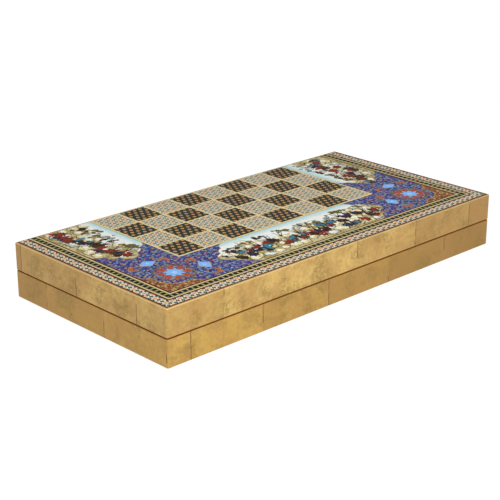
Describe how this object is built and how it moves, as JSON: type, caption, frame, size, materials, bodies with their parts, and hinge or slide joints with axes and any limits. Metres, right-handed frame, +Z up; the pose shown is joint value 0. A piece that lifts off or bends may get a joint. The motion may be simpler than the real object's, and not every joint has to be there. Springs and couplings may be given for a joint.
{
  "type": "backgammon board",
  "caption": "Closed folding backgammon board in gold-leafed wood, with an inlaid chessboard, khatam borders and painted panels on its outer faces, brass hinges and seats for checkers.",
  "frame": {"origin": "centre of the lower tray's outer face, where the closed board lies on the table", "axes": "+X along the long side and the hinge line, +Y towards the hinges, +Z up"},
  "size_m": [0.5, 0.2528, 0.0624],
  "materials": {
    "gold_leaf_wood": "gold-leafed wood, satin",
    "panel_plywood": "bare plywood",
    "khatam_border": "star marquetry under varnish",
    "dash_border": "dashed marquetry under varnish",
    "light_khatam": "pale hexagon marquetry under varnish",
    "dark_khatam": "dark hexagon marquetry under varnish",
    "red_line": "dyed stringing under varnish",
    "cream_line": "pale stringing under varnish",
    "dark_line": "dark stringing under varnish",
    "painted_field": "painted blue ground with arabesque and pictures, varnished",
    "field_veneer": "walnut veneer, satin varnish",
    "dark_point": "dark veneer, satin varnish",
    "light_point": "pale veneer, satin varnish",
    "star_veneer": "star inlay, satin varnish",
    "seat_wood": "walnut, satin varnish",
    "tongue_wood": "beech",
    "hinge_brass": "satin",
    "screw_brass": "satin",
    "magnet_steel": "plated"
  },
  "bodies": {
    "lower_tray": {"hinge_pins": "hinge_brass", "lower_corner_tongues": "tongue_wood", "lower_cream_lines": "cream_line", "lower_dark_line": "dark_line", "lower_dark_points": "dark_point", "lower_dark_squares": "dark_khatam", "lower_dash_border": "dash_border", "lower_field_star": "star_veneer", "lower_front_rail": "gold_leaf_wood", "lower_hinge_leaves": "hinge_brass", "lower_hinge_rail": "gold_leaf_wood", "lower_hinge_screws": "screw_brass", "lower_khatam_border": "khatam_border", "lower_left_end_rail": "gold_leaf_wood", "lower_left_seat_blocks": "seat_wood", "lower_light_points": "light_point", "lower_light_squares": "light_khatam", "lower_magnet": "magnet_steel", "lower_painted_field": "painted_field", "lower_panel": "panel_plywood", "lower_playing_field": "field_veneer", "lower_red_lines": "red_line", "lower_right_end_rail": "gold_leaf_wood", "lower_right_seat_blocks": "seat_wood", "lower_square_lines": "cream_line"},
    "upper_tray": {"upper_corner_tongues": "tongue_wood", "upper_cream_lines": "cream_line", "upper_dark_line": "dark_line", "upper_dark_points": "dark_point", "upper_dark_squares": "dark_khatam", "upper_dash_border": "dash_border", "upper_field_star": "star_veneer", "upper_front_rail": "gold_leaf_wood", "upper_hinge_leaves": "hinge_brass", "upper_hinge_rail": "gold_leaf_wood", "upper_hinge_screws": "screw_brass", "upper_khatam_border": "khatam_border", "upper_left_end_rail": "gold_leaf_wood", "upper_left_seat_blocks": "seat_wood", "upper_light_points": "light_point", "upper_light_squares": "light_khatam", "upper_magnet": "magnet_steel", "upper_painted_field": "painted_field", "upper_panel": "panel_plywood", "upper_playing_field": "field_veneer", "upper_red_lines": "red_line", "upper_right_end_rail": "gold_leaf_wood", "upper_right_seat_blocks": "seat_wood", "upper_square_lines": "cream_line"}
  },
  "joints": [
    {"name": "tray_hinge", "type": "hinge", "parent": "lower_tray", "child": "upper_tray", "pos_m": [0, 0.1254, 0.0312], "axis": [-1, 0, 0], "range_deg": [0, 180]}
  ]
}
